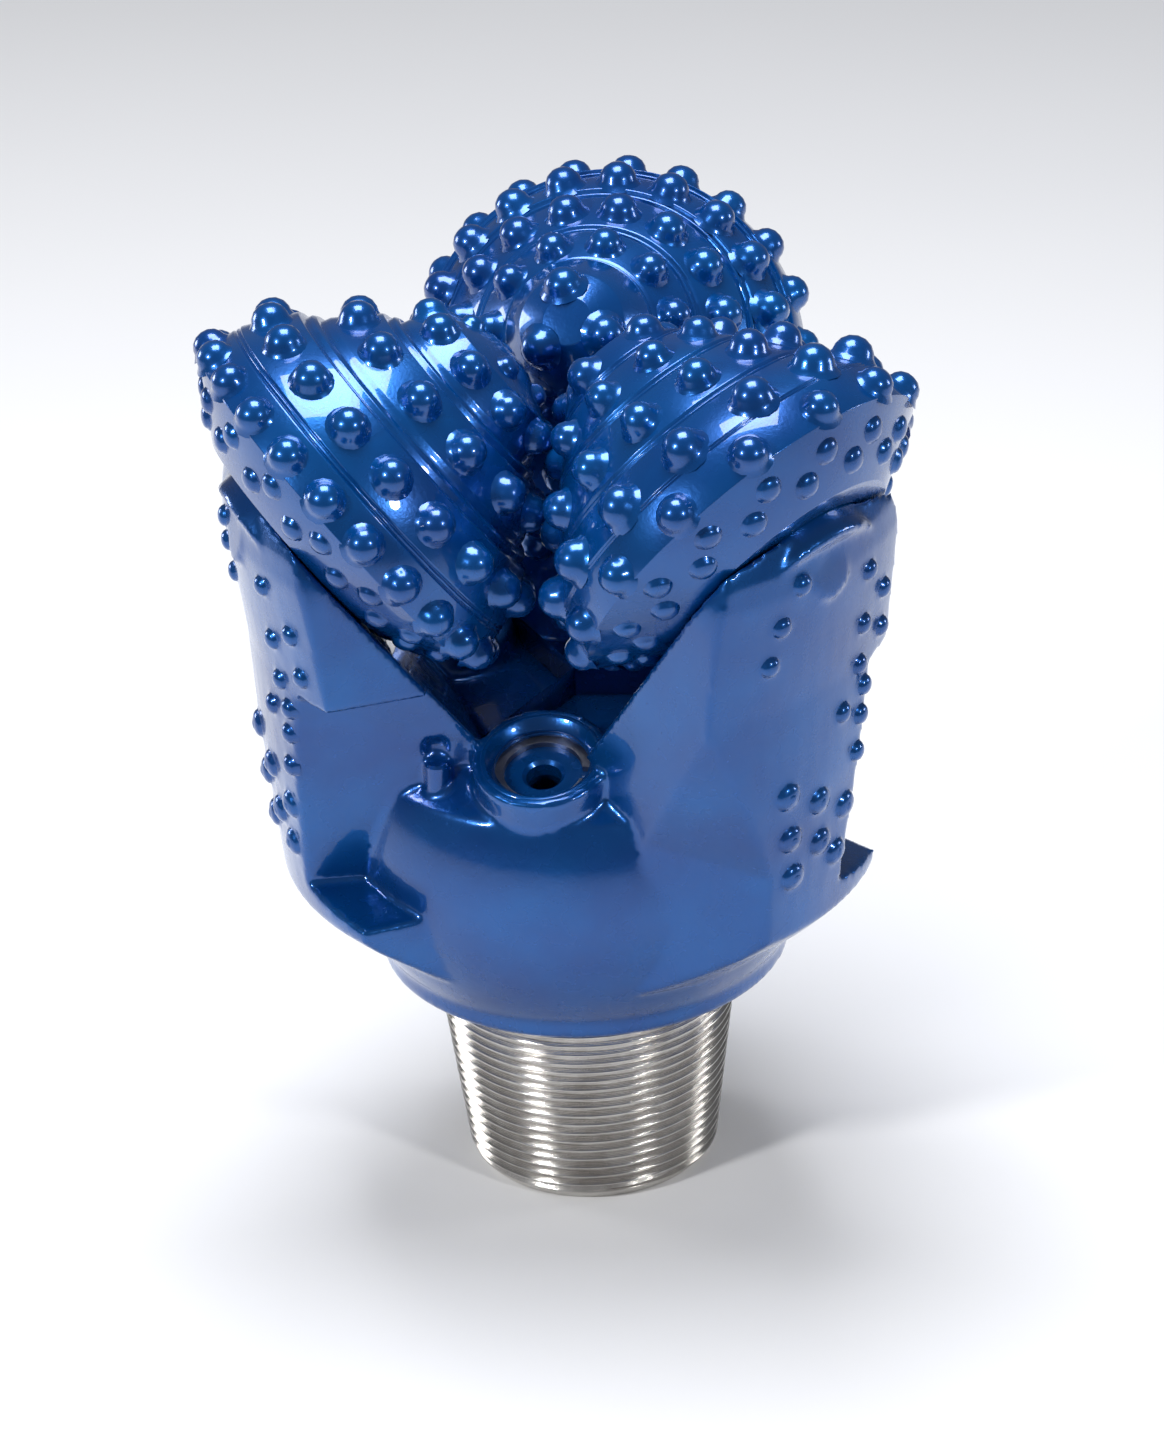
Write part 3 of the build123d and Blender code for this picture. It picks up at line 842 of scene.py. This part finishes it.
@dataclass
class Casting:
    """The three welded legs above the pin, softened as forged and painted steel."""

    paint: Material
    bare: Material
    shoulder_height: float = 133.35
    bore_radius: float = 47.625
    voxel: float = 2.3
    rounds: int = 5
    seam_angle: float = -80.0
    bare_edge: float = 1.5
    bare_height: float = 240.0

    def blank(self) -> Object:
        """Join copies of the legs and of what fills their holes, and cut the pin off."""
        names = []
        for number in (1, 2, 3):
            names += [
                f"leg_{number}", f"leg_{number}_wear_inserts",
                f"leg_{number}_ball_plug", f"nozzle_{number}_nail",
            ]
        copies = [Bench.twin(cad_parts[name], "copy") for name in names]
        blank = Bench.join(copies, "casting")
        Bench.edit(blank)
        bpy.ops.mesh.remove_doubles(threshold=SAME_CORNER)
        bpy.ops.mesh.select_all(action="SELECT")
        bpy.ops.mesh.bisect(
            plane_co=(0, 0, self.shoulder_height * MM), plane_no=(0, 0, -1),
            use_fill=True, clear_outer=True,
        )
        bpy.ops.object.mode_set(mode="OBJECT")
        return blank

    def third(self, blank: Object, number: int) -> Object:
        """Cut one leg's third out of the softened casting.

        Args:
            blank: the whole casting.
            number: the leg.

        Returns:
            The leg's own closed piece.
        """
        leg = Bench.twin(blank, f"leg_{number}_painted")
        start = LEG_ANGLES[number - 1] + self.seam_angle
        for angle, side in ((start, 1), (start + 120, -1)):
            turn = radians(angle)
            Bench.edit(leg)
            bpy.ops.mesh.bisect(
                plane_co=(0, 0, 0), plane_no=(side * sin(turn), -side * cos(turn), 0),
                use_fill=True, clear_outer=True,
            )
            bpy.ops.object.mode_set(mode="OBJECT")
        return leg

    def dress(self, leg: Object) -> None:
        """Paint a leg, and leave its water way bare.

        Args:
            leg: the leg's piece.
        """
        leg.data.materials.clear()
        leg.data.materials.append(self.paint)
        leg.data.materials.append(self.bare)
        edge = (self.bore_radius + self.bare_edge) * MM
        top = self.bare_height * MM
        for face in leg.data.polygons:
            inside = hypot(face.center.x, face.center.y) < edge
            face.material_index = 1 if inside and face.center.z < top else 0

    def build(self) -> list[Object]:
        """Soften the casting and cut it into the three legs.

        Returns:
            The legs.
        """
        blank = self.blank()
        Bench.apply(blank, "REMESH", mode="VOXEL", voxel_size=self.voxel * MM)
        Bench.apply(blank, "SMOOTH", factor=0.5, iterations=self.rounds)
        made = []
        for number in (1, 2, 3):
            leg = self.third(blank, number)
            Bench.smooth(leg, 60)
            self.dress(leg)
            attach(leg, "bit_body")
            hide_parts(f"leg_{number}", f"leg_{number}_ball_plug")
            made.append(leg)
        bpy.data.objects.remove(blank)
        return made


@dataclass
class WearInserts:
    """Small domes on the outer face of a leg."""

    number: int
    paint: Material
    stand_out: float = 4.0

    def build(self) -> Object:
        """Model the domes of one leg."""
        node = f"leg_{self.number}_wear_inserts"
        low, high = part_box(f"leg_{self.number}")
        centre = Vector((0, 0, (low[2] + high[2]) / 2))
        domes = PaintedDomes(node, centre, self.stand_out * MM, self.paint).build()
        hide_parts(node)
        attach(domes, "bit_body")
        return domes


@dataclass
class ThreadedPin:
    """The tapered pin that screws into the drill collar, with a true helical thread."""

    steel: Material
    length: float = 133.35
    top_radius: float = 88.9
    taper: float = 0.25
    bore_radius: float = 47.625
    pitch: float = 6.35
    depth: float = 3.75
    crest: float = 1.27
    root: float = 0.95
    start: float = 7.0
    runout: float = 8.0
    chamfer: float = 5.0
    relief: float = 1.2
    shoulder_radius: float = 107.75
    bore_chamfer: float = 1.5
    core_gap: float = 0.3
    wall_share: float = 0.86
    crest_round: float = 0.35

    def flank(self, height: float) -> float:
        """Radius over the crests at a height, in millimetres."""
        return self.top_radius - self.taper / 2 * (self.length - height)

    def core(self) -> Object:
        """Turn the pin's body inside the thread, its end and its relief."""
        top = self.length
        end = self.flank(0)
        root = self.depth + self.core_gap
        points = [
            (self.bore_radius + self.bore_chamfer, 0), (end - self.chamfer, 0),
            (end - 0.6, self.chamfer), (end - 0.2, self.start - 1),
            (self.flank(self.start) - root, self.start + self.depth),
            (self.flank(top) - root, top - self.runout - self.depth),
            (self.flank(top) - self.relief, top - self.runout),
            (self.flank(top) - self.relief, top - 2),
            (self.flank(top) + 1, top + 0.4),
            (self.shoulder_radius - 1, top + 0.4), (self.shoulder_radius - 1, top + 2),
            (self.bore_radius, top + 2), (self.bore_radius, self.bore_chamfer),
            (self.bore_radius + self.bore_chamfer, 0),
        ]
        core = Bench.turn("pin_core", [(r * MM, z * MM) for r, z in points], 144)
        Bench.soften(core, 0.5 * MM, 2, 20)
        Bench.smooth(core, 35)
        return core

    def thread(self) -> Object:
        """Wind the thread's section round the pin, taper it and close its ends."""
        side = (self.pitch - self.crest - self.root) / 2
        outer = self.flank(self.length)
        ease = self.crest_round
        section = [
            (outer - ease, 0), (outer, ease), (outer, self.crest - ease),
            (outer - ease, self.crest), (outer - self.depth, self.crest + side),
            (outer - self.depth, self.crest + side + self.root), (outer - ease, self.pitch),
        ]
        thread = Bench.draw("thread", [(r * MM, z * MM) for r, z in section])
        bpy.ops.object.mode_set(mode="OBJECT")
        turns = int(self.length / self.pitch) + 1
        Bench.apply(
            thread, "SCREW", axis="Z", angle=tau, screw_offset=self.pitch * MM,
            iterations=turns, steps=112, render_steps=112, use_merge_vertices=True,
            use_normal_calculate=True,
        )
        self.narrow(thread)
        self.close(thread)
        Bench.smooth(thread, 32)
        return thread

    def narrow(self, thread: Object) -> None:
        """Draw the straight thread in towards the pin's small end.

        Args:
            thread: the straight thread.
        """
        for vertex in thread.data.vertices:
            drop = self.taper / 2 * (self.length * MM - vertex.co.z)
            reach = hypot(vertex.co.x, vertex.co.y)
            share = (reach - drop) / reach
            vertex.co.x *= share
            vertex.co.y *= share

    def close(self, thread: Object) -> None:
        """Trim the thread flat at both ends and shut it with an inner wall.

        Args:
            thread: the open thread.
        """
        Bench.edit(thread)
        bpy.ops.mesh.remove_doubles(threshold=SAME_POINT)
        ends = ((self.start, -1), (self.length - self.runout, 1))
        for height, side in ends:
            bpy.ops.mesh.select_all(action="SELECT")
            bpy.ops.mesh.bisect(
                plane_co=(0, 0, height * MM), plane_no=(0, 0, side),
                use_fill=False, clear_outer=True,
            )
        for height, _ in ends:
            self.pick_level(thread, height * MM)
            bpy.ops.mesh.extrude_region_move()
            bpy.ops.transform.resize(
                value=(self.wall_share, self.wall_share, 1), center_override=(0, 0, height * MM)
            )
        bpy.ops.mesh.select_all(action="DESELECT")
        bpy.ops.mesh.select_non_manifold(extend=False, use_wire=False, use_multi_face=False,
                                         use_non_contiguous=False, use_verts=False)
        bpy.ops.mesh.bridge_edge_loops()
        Bench.tidy()

    def pick_level(self, thread: Object, height: float) -> None:
        """Select the open rim at a height.

        Args:
            thread: the thread, in edit mode.
            height: the rim's height in metres.
        """
        bpy.ops.mesh.select_all(action="DESELECT")
        bpy.ops.object.mode_set(mode="OBJECT")
        for vertex in thread.data.vertices:
            vertex.select = abs(vertex.co.z - height) < 1e-6
        for edge in thread.data.edges:
            ends = [thread.data.vertices[index] for index in edge.vertices]
            edge.select = all(end.select for end in ends)
        bpy.ops.object.mode_set(mode="EDIT")

    def build(self) -> Object:
        """Make the pin of its core and its thread."""
        pin = Bench.join([self.core(), self.thread()], "threaded_pin")
        Bench.coat(pin, self.steel)
        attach(pin, "bit_body")
        return pin


@dataclass
class NozzlePort:
    """The finished mouth of a nozzle pocket: its rim, wall and ring grooves."""

    number: int
    paint: Material
    angle: float = -58.0
    radius: float = 100.0
    rim_height: float = 310.35
    tilt: float = 16.0
    bore: float = 26.6
    rim: float = 31.5
    lip: float = 37.5
    depth: float = 13.0

    def place(self) -> Matrix:
        """Matrix from the pocket's own frame, Z out of it, to the row frame."""
        turn = radians(LEG_ANGLES[self.number - 1] + self.angle)
        lean = Matrix.Rotation(radians(self.tilt), 4, "Y")
        spot = Vector((self.radius * cos(turn), self.radius * sin(turn), self.rim_height)) * MM
        return Matrix.Translation(spot) @ Matrix.Rotation(turn, 4, "Z") @ lean

    def outline(self) -> list[Point]:
        """Section of the lining, from the rim's outside over the lip into the bore."""
        points = [
            (self.lip, -7), (self.lip - 1.6, -2.2), (self.lip - 3.8, 0.2), (self.rim, 0.3),
            (self.bore + 0.4, -4.6), (self.bore, -5.4), (self.bore, -6.6), (self.bore + 1.0, -6.9),
            (self.bore + 1.0, -7.7), (self.bore, -8.0), (self.bore, -9.6), (self.bore + 1.0, -9.9),
            (self.bore + 1.0, -self.depth), (self.lip, -self.depth), (self.lip, -7),
        ]
        return [(r * MM, z * MM) for r, z in points]

    def build(self) -> Object:
        """Turn the lining and set it in its leg."""
        port = Bench.turn(f"nozzle_{self.number}_port", self.outline(), 72)
        Bench.soften(port, 0.35 * MM, 2, 25)
        Bench.smooth(port, 45)
        Bench.settle(port, self.place())
        Bench.coat(port, self.paint)
        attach(port, "bit_body")
        return port


@dataclass
class Studio:
    """Floor, lights and camera."""

    azimuth: float = 13.95
    elevation: float = 28.31
    roll: float = -2.39
    distance: float = 3.50698
    aim: tuple[float, float] = (0.00282, 0.28123)
    lens: float = 154.14

    def axes(self) -> tuple[Vector, Vector, Vector]:
        """The camera's right, up and backward directions before its roll."""
        turn, rise = radians(self.azimuth), radians(self.elevation)
        back = Vector((sin(turn) * cos(rise), -cos(turn) * cos(rise), sin(rise)))
        right = Vector((cos(turn), sin(turn), 0))
        return right, back.cross(right), back

    def camera(self) -> None:
        """Set the camera at the viewing angle."""
        right, up, back = self.axes()
        roll = radians(self.roll)
        across = right * cos(roll) + up * sin(roll)
        upward = up * cos(roll) - right * sin(roll)
        target = right * self.aim[0] + Vector((0, 0, self.aim[1]))
        view = Matrix((across, upward, back)).transposed().to_4x4()
        view.translation = target + back * self.distance
        data = bpy.data.cameras.new("camera")
        data.lens, data.sensor_width = self.lens, 36
        camera = bpy.data.objects.new("camera", data)
        camera.matrix_world = view
        bpy.context.scene.collection.objects.link(camera)
        bpy.context.scene.camera = camera

    def lamp(self, name: str, place: Sequence[float], power: float, size: float,
             colour: Sequence[float] = (1, 1, 1), round_shape: bool = False) -> None:
        """Hang an area light that faces the bit.

        Args:
            name: the light's name.
            place: where it hangs.
            power: its watts.
            size: its width.
            colour: its colour.
            round_shape: a disc instead of a square.
        """
        data = bpy.data.lights.new(name, "AREA")
        data.energy, data.size, data.color = power, size, colour
        data.shape = "DISK" if round_shape else "SQUARE"
        light = bpy.data.objects.new(name, data)
        spot = Vector(place)
        aim = (Vector((0, 0, 0.35)) - spot).to_track_quat("-Z", "Y")
        light.matrix_world = Matrix.Translation(spot) @ aim.to_matrix().to_4x4()
        bpy.context.scene.collection.objects.link(light)

    def floor(self) -> None:
        """Lay the floor under the pin."""
        Bench.clear()
        bpy.ops.mesh.primitive_plane_add(size=24)
        floor = bpy.context.object
        floor.name = "studio_floor"
        Bench.coat(floor, PaleFloor().material())

    def sky(self) -> None:
        """Fill the room with pale light."""
        world = bpy.data.worlds.new("room")
        world.use_nodes = True
        background = world.node_tree.nodes["Background"]
        background.inputs["Color"].default_value = (0.93, 0.95, 1.0, 1)
        background.inputs["Strength"].default_value = 0.13
        bpy.context.scene.world = world

    def build(self) -> None:
        """Set up everything that isn't the bit."""
        bpy.context.scene.view_settings.view_transform = "Standard"
        self.floor()
        self.sky()
        self.lamp("overhead", (-0.1, 0.25, 2.3), 52, 1.1, (0.93, 0.95, 1.0))
        self.lamp("left_front", (-1.5, -2.0, 1.9), 40, 0.36, (1, 1, 1), True)
        self.lamp("right_front", (2.0, -1.3, 1.6), 18, 0.30, (1, 1, 1), True)
        self.lamp("far_left", (-2.4, 0.6, 0.7), 16, 0.7)
        self.lamp("far_right", (2.3, 0.9, 0.8), 10, 0.5)
        self.camera()


# --------------------------------------------------------------------- the bit
@dataclass
class Workshop:
    """Materials of the carried-over pieces and the order of the work."""

    cone_paint: Material = field(default_factory=lambda: GlossPaint("cone_paint").material())
    leg_paint: Material = field(
        default_factory=lambda: GlossPaint("leg_paint", wave=0.0034).material()
    )
    steel: Material = field(default_factory=lambda: TurnedSteel("turned_steel").material())
    gauge_land: tuple[float, float, float, float] = (23, 111, 0, 113)

    def cones(self) -> list[RollingCone]:
        """The three cones, whose rows are staggered so that they mesh."""
        lands = {
            1: [(119, 40, 100, 51.5), (91.5, 63.5, 68, 81), (57, 95, 28, 110)],
            2: [(126, 30, 112, 42), (107.5, 46.5, 85.5, 66), (80, 71.5, 54.5, 89),
                (49, 94.5, 26, 110)],
            3: [(117, 30, 100, 41.5), (94, 44, 78, 62), (73, 67, 50, 88),
                (45, 94.5, 27, 106)],
        }
        stand_outs = {
            1: (5.0, 9.5, 11.5, 11.5, 9.5, 3.5),
            2: (8.5, 10.0, 11.5, 12.5, 9.5, 3.5),
            3: (10.0, 10.0, 11.0, 11.5, 9.5, 3.5),
        }
        return [
            RollingCone(
                number, [*lands[number], self.gauge_land],
                dict(zip(Zone, stand_outs[number])), self.cone_paint,
            )
            for number in lands
        ]

    def small_metals(self) -> dict[str, Material]:
        """Materials of the frame's own nodes, by the end of the node's name."""
        bearing = GroundMetal("bearing_steel", (0.55, 0.55, 0.56, 1), (0.42, 0.41, 0.40, 1), 0.12)
        bronze = GroundMetal("bronze", (0.50, 0.29, 0.12, 1), (0.36, 0.20, 0.09, 1), 0.28)
        hard = GroundMetal("hard_disc", (0.34, 0.34, 0.36, 1), (0.22, 0.22, 0.24, 1), 0.2)
        spring = GroundMetal("spring_steel", (0.16, 0.17, 0.20, 1), (0.30, 0.30, 0.33, 1), 0.3)
        bearing_steel = bearing.material()
        return {
            "_rollers": bearing_steel,
            "_balls": bearing_steel,
            "_nose_bushing": bronze.material(),
            "_thrust_button": hard.material(),
            "_snap_ring": spring.material(),
            "_o_ring": SealRubber("seal_rubber").material(),
            "_nail": self.leg_paint,
        }

    def dress_frame(self) -> None:
        """Give every carried-over node its own material."""
        finishes = self.small_metals()
        for name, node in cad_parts.items():
            for ending, material in finishes.items():
                if name.endswith(ending):
                    Bench.coat(node, material)
            if name in ("nozzle_1", "nozzle_2", "nozzle_3"):
                Bench.coat(node, self.leg_paint)

    def build(self) -> None:
        """Build the whole bit, piece by piece."""
        self.dress_frame()
        for leg in Casting(self.leg_paint, self.steel).build():
            log.info("%s: %d faces", leg.name, len(leg.data.polygons))
        pin = ThreadedPin(self.steel).build()
        log.info("%s: %d faces", pin.name, len(pin.data.polygons))
        for number in (1, 2, 3):
            for piece in (
                WearInserts(number, self.leg_paint).build(),
                NozzlePort(number, self.leg_paint).build(),
            ):
                log.info("%s: %d faces", piece.name, len(piece.data.polygons))
        for cone in self.cones():
            for piece in cone.build():
                log.info("%s: %d faces", piece.name, len(piece.data.polygons))


def main() -> None:
    """Build the bit and its studio."""
    logging.basicConfig(level=logging.INFO, format="%(message)s")
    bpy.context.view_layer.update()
    Workshop().build()
    Studio().build()
    Bench.clear()


if __name__ == "__main__":
    main()
